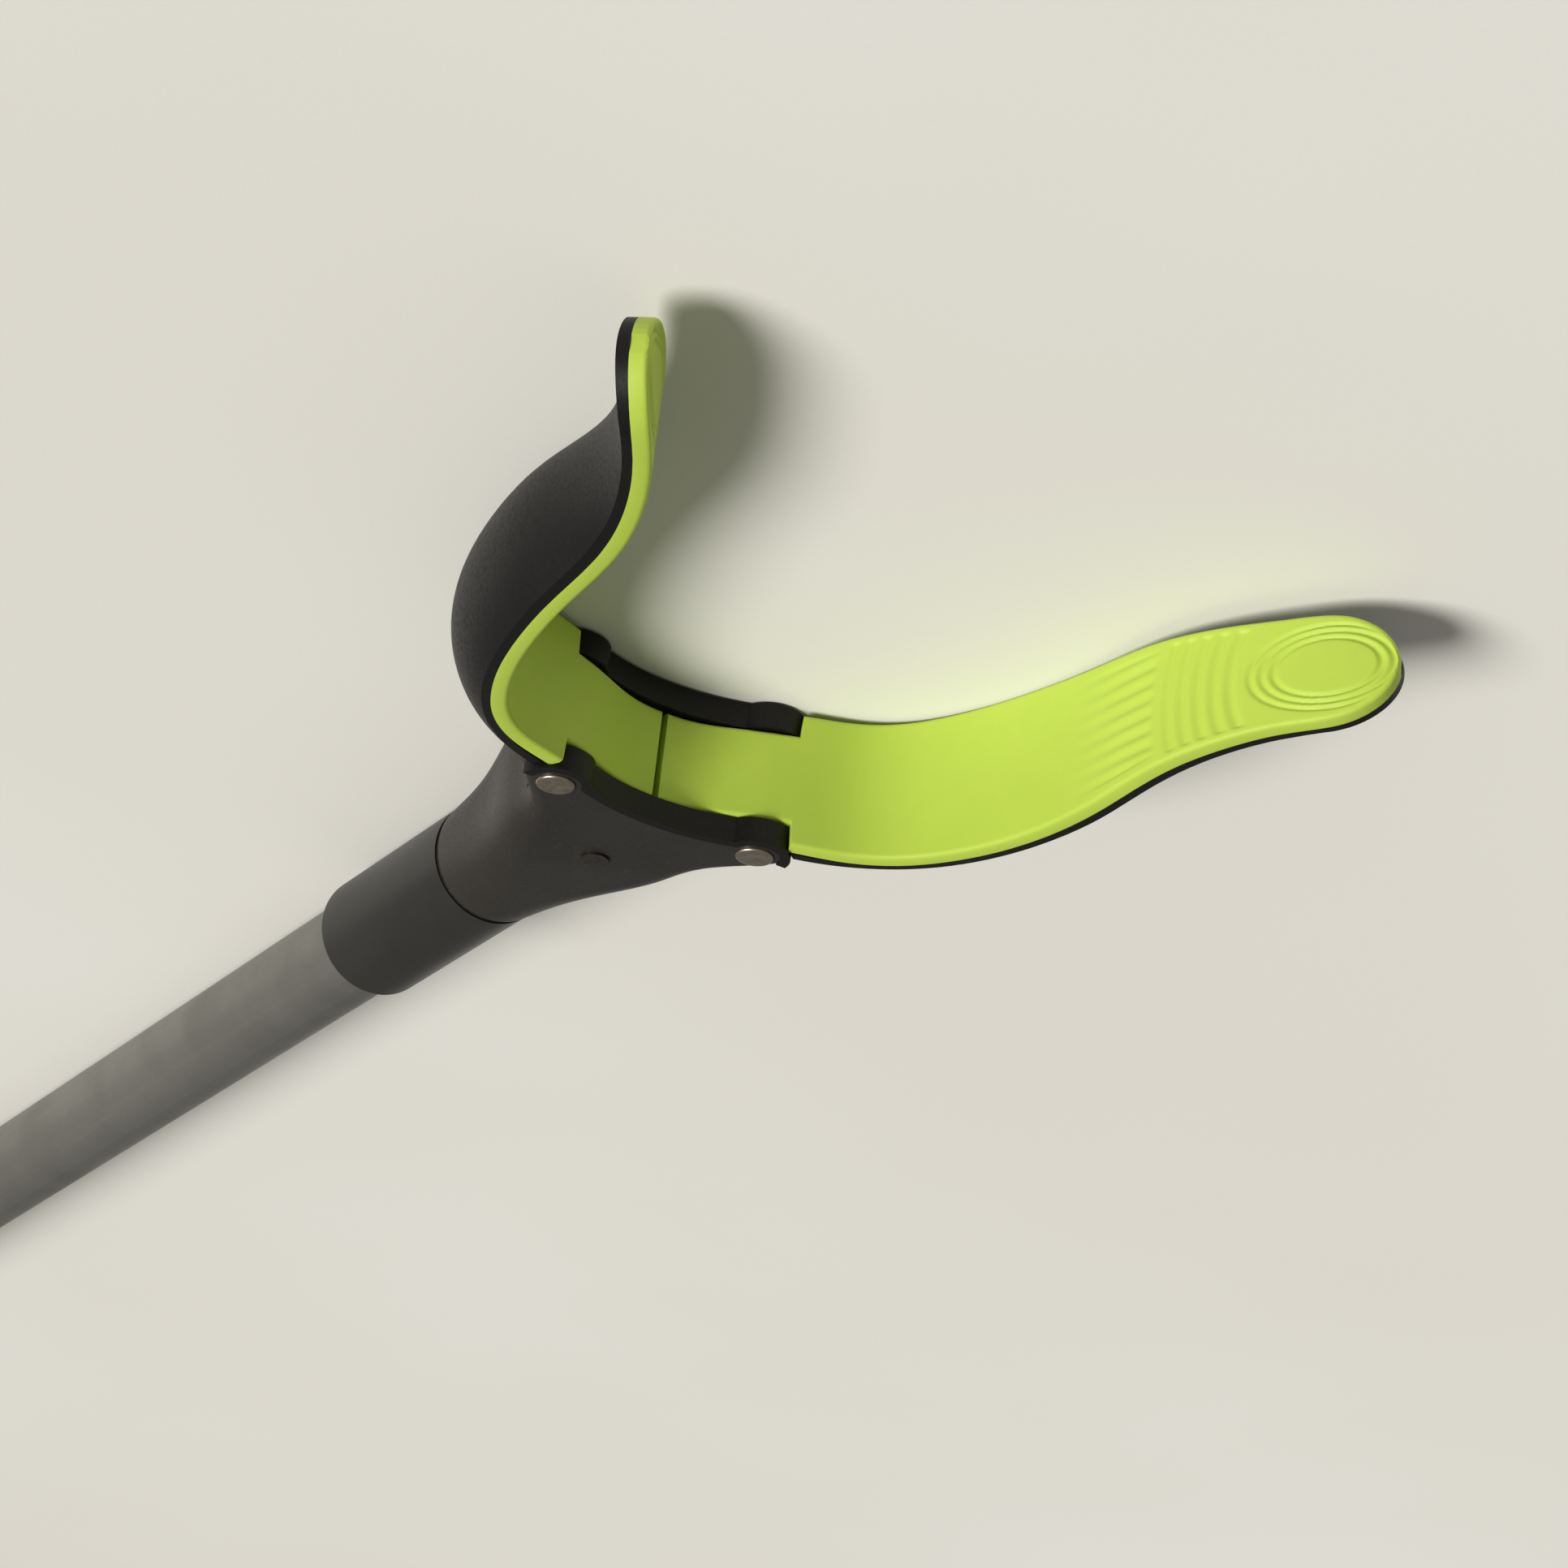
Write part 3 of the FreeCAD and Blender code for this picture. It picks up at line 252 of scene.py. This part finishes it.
# ---------------------------------------------------------------- swivel washer and core
# Slide washer, seen as a thin ring between collar and head, and the moulded core whose captive
# flange carries the head. Both are unfilled nylon, the washer blackened.
nylon, shader, where = new_finish("pale_nylon", Subsurface_Weight=0.05,
                                  Specular_IOR_Level=0.4)
flow = where.stretched(90.0, 320.0, 320.0).noise(1.0, 4.0).between(0.3, 0.7)
grain = where.noise(1900.0, 2.0)
connect(shader, Base_Color=flow.blend(rgb(206, 203, 193), rgb(194, 190, 178)),
        Roughness=0.46 + grain * 0.12, Normal=grain.bump(0.12, 0.0001))

dark_nylon, shader, where = new_finish("dark_nylon", Specular_IOR_Level=0.35)
grain = where.noise(1700.0, 3.0)
connect(shader, Base_Color=grain.between(0.3, 0.7).blend(rgb(30, 28, 26), rgb(40, 38, 35)),
        Roughness=0.5 + grain * 0.15, Normal=grain.bump(0.15, 0.0001))
dress("swivel_washer", dark_nylon)
for name in ("swivel_core", "guide_upper", "guide_lower", "yoke", "rod_bush", "spring_seat",
             "rod_clevis"):
    dress(name, nylon)


# ---------------------------------------------------------------- head bracket
# Two half shells moulded in dark grey glass-filled nylon, which hold the jaws' pivots. Their
# skin is satin with a fine spark texture and faint pale specks of glass.
shell_grey, shader, where = new_finish("dark_grey_bracket", Specular_IOR_Level=0.3)
spark = where.cells(2200.0)
skin = where.noise(800.0, 3.0, 0.6)
haze = where.noise(38.0, 4.0).between(0.3, 0.7)
tone = haze.blend(rgb(45, 42, 37), rgb(39, 36, 32))
tone = skin.between(0.55, 0.8).blend(tone, rgb(53, 49, 44))
connect(shader, Base_Color=tone, Roughness=0.36 + spark * 0.14 + haze * 0.06,
        Normal=(spark * 0.5 + skin * 0.5).bump(0.16, 0.00012))
for name in ("bracket_upper", "bracket_lower"):
    dress(name, shell_grey)


# ---------------------------------------------------------------- front rims
# Black edge strips along the hollow front of both plates, over-moulded in hard rubber. They
# stand a little proud of the plates and run round the pivots.
rim_rubber, shader, where = new_finish("black_rim_rubber", Specular_IOR_Level=0.22)
grain = where.noise(1500.0, 3.0)
connect(shader, Base_Color=grain.between(0.3, 0.7).blend(rgb(13, 10, 10), rgb(20, 17, 16)),
        Roughness=0.42 + grain * 0.16, Normal=grain.bump(0.18, 0.00012))
for name in ("rim_upper", "rim_lower"):
    dress(name, rim_rubber)


# ---------------------------------------------------------------- rivets and centre screws
# Flat domed pivot rivets in bronze-toned steel, turned on the head, one small dark screw per
# plate that holds the rail of the crosshead, and the four like screws of the handle.
def turned_rings(where, x, y, pitch):
    """Fine turning marks round a vertical axis."""
    across, along = where.split()[:2]
    radius = ((across - x) ** 2 + (along - y) ** 2) ** 0.5
    return (radius * (2 * math.pi / pitch)).sine()


TURNING_PITCH = 0.00028
PIVOT_X = 0.6945
PIVOT_Y = 0.0196
for side, y in (("left", PIVOT_Y), ("right", -PIVOT_Y)):
    bronze, shader, where = new_finish("burnished_rivet_" + side, Metallic=1.0)
    rings = turned_rings(where, PIVOT_X, y, TURNING_PITCH)
    wear = where.noise(700.0, 4.0).between(0.35, 0.7)
    connect(shader, Base_Color=wear.blend(rgb(188, 174, 156), rgb(150, 138, 122)),
            Roughness=0.30 + wear * 0.18, Normal=(rings * 0.4 + wear).bump(0.10, 0.00006))
    dress("pivot_rivet_" + side, bronze)

dark_steel, shader, where = new_finish("oiled_dark_screw", Metallic=0.9)
wear = where.noise(900.0, 4.0).between(0.35, 0.7)
connect(shader, Base_Color=wear.blend(rgb(84, 78, 72), rgb(64, 59, 55)),
        Roughness=0.34 + wear * 0.15, Normal=wear.bump(0.10, 0.00006))
for name in ("centre_screws", "handle_screws"):
    dress(name, dark_steel)


# ---------------------------------------------------------------- pull rod, pins and detent leaf
# Drawn steel rod that runs from the trigger to the head, with the pins of trigger, crosshead
# and tube and the sprung leaf of the swivel. They are bright, with a brushed grain.
steel, shader, where = new_finish("bright_steel", Metallic=1.0)
brushed = where.stretched(1500.0, 1500.0, 60.0).noise(1.0, 4.0)
wear = where.noise(300.0, 3.0).between(0.35, 0.7)
connect(shader, Base_Color=wear.blend(rgb(186, 184, 178), rgb(160, 158, 152)),
        Roughness=0.28 + brushed * 0.18, Normal=brushed.bump(0.08, 0.00008))
for name in ("detent_leaf", "crank_pin_left", "crank_pin_right", "pull_rod", "rod_knob",
             "clevis_pin", "trigger_pin", "tube_pin"):
    dress(name, steel)


# ---------------------------------------------------------------- return spring
# Steel compression spring between its seat in the handle and the rod's clevis. On the tool it
# shortens by the rod's travel when the trigger is squeezed; this coil keeps its CAD length and
# rides on the handle.
SPRING_TURNS = 7
STEPS_PER_TURN = 48
WIRE = 0.0006                # radius of the wire
WIRE_SIDES = 10


def closed_mesh(name, vertices, around, crease=None):
    """Solid of stacked rings, each of so many vertices, with a face over both ends.

    Edges that turn by more than the crease angle, if one is given, stay sharp.
    """
    rings = len(vertices) // around
    faces = []
    for i in range(rings - 1):
        for j in range(around):
            k = (j + 1) % around
            faces.append((i * around + j, i * around + k, (i + 1) * around + k,
                          (i + 1) * around + j))
    faces.append(tuple(range(around)))
    faces.append(tuple(reversed(range((rings - 1) * around, rings * around))))
    mesh = bpy.data.meshes.new(name)
    mesh.from_pydata(vertices, [], faces)
    work = bmesh.new()
    work.from_mesh(mesh)
    bmesh.ops.recalc_face_normals(work, faces=work.faces)
    work.to_mesh(mesh)
    work.free()
    mesh.shade_smooth()
    if crease is not None:
        mesh.set_sharp_from_angle(angle=crease)
    return mesh


def mount(name, mesh, material, node, body):
    """Puts a finished mesh in the place of a CAD node, riding on its body."""
    mesh.materials.append(material)
    piece = bpy.data.objects.new(name, mesh)
    bpy.context.collection.objects.link(piece)
    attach(piece, body)
    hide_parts(node)
    return piece


low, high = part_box("return_spring")
coil_radius = (high[1] - low[1]) / 2 - WIRE
start, end = low[0] + WIRE, high[0] - WIRE
vertices = []
steps = SPRING_TURNS * STEPS_PER_TURN
for i in range(steps + 1):
    share = i / steps
    turn = share * SPRING_TURNS * 2 * math.pi
    outward = Vector((0, math.sin(turn), math.cos(turn)))
    centre = outward * coil_radius + Vector((start + (end - start) * share, 0, 0))
    for j in range(WIRE_SIDES):
        angle = j / WIRE_SIDES * 2 * math.pi
        vertices.append(tuple(centre + outward * (WIRE * math.cos(angle))
                              + Vector((WIRE * math.sin(angle), 0, 0))))
coil_mesh = closed_mesh("return_spring_coil", vertices, WIRE_SIDES)
coil = mount("return_spring_coil", coil_mesh, steel, "return_spring", "handle_and_tube")
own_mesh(coil)


# ---------------------------------------------------------------- jaw backs
# Crowned black backs of the two spoon jaws, moulded with hub, palm wall and crank in one
# piece. The skin is satin with a fine leather-like grain.
back_black, shader, where = new_finish("satin_black_jaw_back", Specular_IOR_Level=0.22)
grain = where.cells(1500.0)
skin = where.noise(420.0, 4.0, 0.6)
haze = where.noise(30.0, 4.0).between(0.3, 0.7)
tone = haze.blend(rgb(14, 13, 13), rgb(18, 17, 16))
connect(shader, Base_Color=tone, Roughness=0.38 + grain * 0.16 + skin * 0.06,
        Normal=(grain * 0.5 + skin).bump(0.16, 0.00014))
for name in ("jaw_back_left", "jaw_back_right"):
    dress(name, back_black)


# ---------------------------------------------------------------- jaw linings
# Thick soft lime rubber lining of each jaw, over-moulded on its back: half of the palm, then
# the whole inner face of the spoon. The finger pad carries oval ridges, then arcs round the
# same centre, then lengthwise ribs that fade out.
LINING = 0.0028              # thickness of the lining
EDGE = 0.0008                # rounding of its edges
HEAD_X = 0.697               # where the palm lies between the plates
BEND_X = HEAD_X + 0.0045     # ahead of this the face is read by rays from the tool's axis
JAW_REACH = 0.107
TIP_MARGIN = 0.00015         # the last ray falls this far behind the tip
AXIS_GAP = 0.0005            # and the rays start this far beside the axis
SPOON_RAYS = 400
PALM_RAY_X = HEAD_X + 0.04   # the palm is read by rays from here, over this width
PALM_START = 0.0006
PALM_WIDTH = 0.0179
PALM_RAYS = 60
TIP_ZONE = 0.013             # rounded end of the spoon
TIP_FILL = 0.9995            # share of it that the mesh covers
THINNEST = 0.00005           # half width at the very tip
ROWS = 420
TIP_ROWS = 90
ACROSS = 84
CREASE = math.radians(50)    # edges that turn by more than this stay sharp
EVEN_SHARE = 0.65            # the rest of the columns' spread crowds towards the edges


def solid_of(node):
    """Tree of a CAD node's faces, for rays."""
    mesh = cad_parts[node].data
    return BVHTree.FromPolygons([v.co for v in mesh.vertices], [p.vertices for p in mesh.polygons])


def read_face(tree, side):
    """Inner face in the jaw plane, from the palm seam to the tip, read off the CAD lining."""
    points = []
    for i in range(PALM_RAYS):
        y = side * (PALM_START + PALM_WIDTH * i / (PALM_RAYS - 1))
        hit = tree.ray_cast(Vector((PALM_RAY_X, y, 0)), Vector((-1, 0, 0)))[0]
        if hit is not None and hit.x < BEND_X:
            points.append((hit.x, abs(hit.y)))
    for i in range(SPOON_RAYS):
        x = BEND_X + (HEAD_X + JAW_REACH - TIP_MARGIN - BEND_X) * i / (SPOON_RAYS - 1)
        hit = tree.ray_cast(Vector((x, side * AXIS_GAP, 0)), Vector((0, side, 0)))[0]
        if hit is not None:
            points.append((hit.x, abs(hit.y)))
    path = np.array(points)
    for _ in range(3):
        path[1:-1] = 0.25 * path[:-2] + 0.5 * path[1:-1] + 0.25 * path[2:]
    return path


def along_path(path, stations):
    """Points and inward normals at distances along the path."""
    steps = np.hypot(*np.diff(path, axis=0).T)
    length = np.concatenate([[0], np.cumsum(steps)])
    place = np.stack([np.interp(stations, length, path[:, k]) for k in (0, 1)], 1)
    reach = 0.0006
    ahead = np.stack([np.interp(stations + reach, length, path[:, k]) for k in (0, 1)], 1)
    behind = np.stack([np.interp(stations - reach, length, path[:, k]) for k in (0, 1)], 1)
    run = ahead - behind
    run /= np.hypot(run[:, 0], run[:, 1])[:, None]
    return place, np.stack([run[:, 1], -run[:, 0]], 1)


def smooth(value, low, high):
    """0 below low, 1 above high, smooth between."""
    part = np.clip((value - low) / (high - low), 0, 1)
    return part * part * (3 - 2 * part)


# The ridges, all cut by the same depth. Ovals and arcs share a centre. Each group fades in and
# out between two distances from it, and the ribs fade out towards the palm.
RIDGE = 0.00042
PAD_CENTRE = 0.0115          # centre behind the tip, along the face
OVAL_RATIO = 1.75            # length of the ovals over their width
OVAL_FIRST = 0.0045
OVAL_PITCH = 0.00118
OVAL_IN = (0.0042, 0.0048)
OVAL_OUT = (0.0078, 0.0084)
ARC_FLATNESS = 0.92
ARC_FIRST = 0.0150
ARC_PITCH = 0.0031
ARC_IN = (0.0147, 0.0154)
ARC_OUT = (0.0298, 0.0306)
JAW_RIB_PITCH = 0.0029
RIB_IN = (0.0312, 0.0335)
RIB_OUT = (0.047, 0.066)             # these two from the tip
RIDGE_MARGIN = (0.0011, 0.0018)      # from the face's side edge, where ovals and arcs run out
RIB_MARGIN = (0.0016, 0.0026)        # and where the ribs do


def waves(distance, pitch):
    """Row of rounded grooves, 0 to 1 deep."""
    return 0.5 - 0.5 * np.cos(distance / pitch * 2 * np.pi)


def ridge_depth(back_from_tip, z, width):
    """Depth of the grooves at places on the face."""
    ahead = PAD_CENTRE - back_from_tip
    oval = np.hypot(ahead / OVAL_RATIO, z)
    oval_zone = smooth(oval, *OVAL_IN) * (1 - smooth(oval, *OVAL_OUT))
    border = smooth(width - np.abs(z), *RIDGE_MARGIN)
    depth = waves(oval - OVAL_FIRST, OVAL_PITCH) * oval_zone * border
    far = np.hypot(ahead, z * ARC_FLATNESS)
    arc_zone = smooth(far, *ARC_IN) * (1 - smooth(far, *ARC_OUT)) * (ahead < 0)
    depth = np.maximum(depth, waves(far - ARC_FIRST, ARC_PITCH) * arc_zone * border)
    rib_zone = smooth(far, *RIB_IN) * (1 - smooth(back_from_tip, *RIB_OUT))
    rib_zone = rib_zone * smooth(width - np.abs(z), *RIB_MARGIN)
    return np.maximum(depth, waves(z, JAW_RIB_PITCH) * rib_zone) * RIDGE


def lining_mesh(node, side):
    """Dense mesh of one lining, with rounded edges and ridges cut into its face."""
    tree = solid_of(node)
    path = read_face(tree, side)
    total = np.hypot(*np.diff(path, axis=0).T).sum()
    even = np.linspace(0, total - TIP_ZONE, ROWS, endpoint=False)
    turn = np.linspace(0, np.pi / 2, TIP_ROWS)
    stations = np.concatenate([even, total - TIP_ZONE + TIP_ZONE * np.sin(turn) * TIP_FILL])
    place, normal = along_path(path, stations)
    widths = []
    for (x, y), (nx, ny) in zip(place, normal):
        start = Vector((x - nx * LINING / 2, side * (y - ny * LINING / 2), 0))
        hit = tree.ray_cast(start, Vector((0, 0, 1)))[0]
        widths.append(THINNEST if hit is None else max(THINNEST, hit.z))
    widths = np.array(widths)[:, None]
    slope = np.gradient(widths[:, 0], stations)[:, None]
    slope[stations < total - 2 * TIP_ZONE] = 0
    crowded = np.sin(np.linspace(-np.pi / 2, np.pi / 2, ACROSS))
    spread = (1 - EVEN_SHARE) * crowded + EVEN_SHARE * np.linspace(-1, 1, ACROSS)
    z = widths * spread
    border = (widths - np.abs(z)) / np.sqrt(1 + slope ** 2)
    inset = np.clip(EDGE - border, 0, EDGE)
    depth = EDGE - np.sqrt(EDGE ** 2 - inset ** 2)
    depth = np.maximum(depth, ridge_depth((total - stations)[:, None], z, widths))
    depth = np.concatenate([depth, np.full((len(stations), 2), LINING)], 1)
    height = np.concatenate([z, widths * np.array([1, -1])], 1)
    x = place[:, :1] - normal[:, :1] * depth
    y = side * (place[:, 1:] - normal[:, 1:] * depth)
    loops = np.stack([x, y, height], 2)
    return closed_mesh(node + "_soft", loops.reshape(-1, 3).tolist(), ACROSS + 2, CREASE)


lime, shader, where = new_finish("soft_lime_rubber", Specular_IOR_Level=0.4,
                                 Subsurface_Weight=0.08, Subsurface_Scale=0.002)
bloom = where.noise(26.0, 5.0, 0.55).between(0.3, 0.72)
grain = where.noise(1500.0, 3.0, 0.6)
specks = where.cells(420.0).between(0.04, 0.12)
tone = bloom.blend(rgb(183, 206, 76), rgb(175, 199, 69))
tone = ((1 - specks) * 0.12).blend(tone, rgb(156, 184, 62))
connect(shader, Base_Color=tone, Roughness=0.48 + grain * 0.14 + bloom * 0.05,
        Normal=grain.bump(0.12, 0.00012))

for name, side, body in (("jaw_liner_left", 1, "left_jaw"), ("jaw_liner_right", -1, "right_jaw")):
    lining = mount(name + "_soft", lining_mesh(name, side), lime, name, body)


# ---------------------------------------------------------------- handle shells
# Two half shells of the pistol grip in black plastic, screwed together along a fine parting
# line. Their skin has a fine matt texture, polished in patches by the hand.
SEAM_HALF = (0.00012, 0.00042)
grip_black, shader, where = new_finish("matt_black_handle", Specular_IOR_Level=0.3)
grain = where.cells(1300.0)
skin = where.noise(500.0, 3.0)
polish = where.noise(20.0, 4.0).between(0.35, 0.7)
height = where.split()[2]
seam = 1 - height.absolute().between(*SEAM_HALF)
tone = seam.blend(polish.blend(rgb(30, 28, 27), rgb(36, 34, 32)), rgb(8, 8, 8))
relief = (grain + skin * 0.4) * 0.2 - seam * 2.0
connect(shader, Base_Color=tone, Roughness=0.46 + grain * 0.18 - polish * 0.07,
        Normal=relief.bump(0.8, 0.00015))
for name in ("handle_upper", "handle_lower"):
    dress(name, grip_black)


# ---------------------------------------------------------------- grip pads
# Black rubber pads let into both sides of the grip, with rounded ribs across them so that the
# palm doesn't slip.
GRIP_RIB_PITCH = 0.0044
GRIP_RIB_DEPTH = 0.0007
GRIP_EDGE = 0.0005           # rounding of the pad's edge
GRIP_MARGIN = (0.0012, 0.0026)       # from the pad's edge, where the ribs run out
GRIP_ROWS = 260
GRIP_COLUMNS = 40
pad_rubber, shader, where = new_finish("black_grip_rubber", Specular_IOR_Level=0.35)
grain = where.noise(1300.0, 3.0)
dust = where.noise(70.0, 4.0).between(0.4, 0.75)
connect(shader, Base_Color=dust.blend(rgb(22, 21, 20), rgb(31, 29, 28)),
        Roughness=0.58 + grain * 0.16, Normal=grain.bump(0.25, 0.00015))


def ribbed_pad(node, side):
    """Mesh of one pad: the CAD outline with a dense face whose ribs are cut inwards."""
    low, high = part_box(node)
    tree = solid_of(node)
    middle = (low[2] + high[2]) / 2
    outer, inner = (high[2], low[2]) if side > 0 else (low[2], high[2])
    outside = 0.01
    inset = 0.00002
    vertices = []
    for y in np.linspace(low[1] + inset, high[1] - inset, GRIP_ROWS):
        left = tree.ray_cast(Vector((low[0] - outside, y, middle)), Vector((1, 0, 0)))[0]
        right = tree.ray_cast(Vector((high[0] + outside, y, middle)), Vector((-1, 0, 0)))[0]
        if left is None or right is None:
            continue
        half = (right.x - left.x) / 2
        centre = (right.x + left.x) / 2
        for share in np.sin(np.linspace(-np.pi / 2, np.pi / 2, GRIP_COLUMNS)):
            border = min(half * (1 - abs(share)), y - low[1], high[1] - y)
            rib = GRIP_RIB_DEPTH * waves(y - low[1], GRIP_RIB_PITCH)
            rib = rib * smooth(border, *GRIP_MARGIN)
            edge = max(0.0, GRIP_EDGE - border)
            depth = max(rib, GRIP_EDGE - math.sqrt(GRIP_EDGE ** 2 - edge ** 2))
            vertices.append((centre + half * share, y, outer - side * depth))
        vertices.append((right.x, y, inner))
        vertices.append((left.x, y, inner))
    return closed_mesh(node + "_ribbed", vertices, GRIP_COLUMNS + 2, CREASE)


for name, side in (("grip_pad_upper", 1), ("grip_pad_lower", -1)):
    pad = mount(name + "_ribbed", ribbed_pad(name, side), pad_rubber, name,
                "handle_and_tube")


# ---------------------------------------------------------------- trigger and its pad
# Finger lever moulded in grey plastic, which turns on a steel pin in the handle. A soft lime
# pad is lapped over the front of its blade.
lever_grey, shader, where = new_finish("grey_trigger", Specular_IOR_Level=0.5)
grain = where.cells(1500.0)
haze = where.noise(40.0, 4.0).between(0.3, 0.7)
connect(shader, Base_Color=haze.blend(rgb(78, 75, 71), rgb(70, 67, 64)),
        Roughness=0.40 + grain * 0.16, Normal=grain.bump(0.16, 0.00012))
dress("trigger", lever_grey)
dress("trigger_pad", lime)
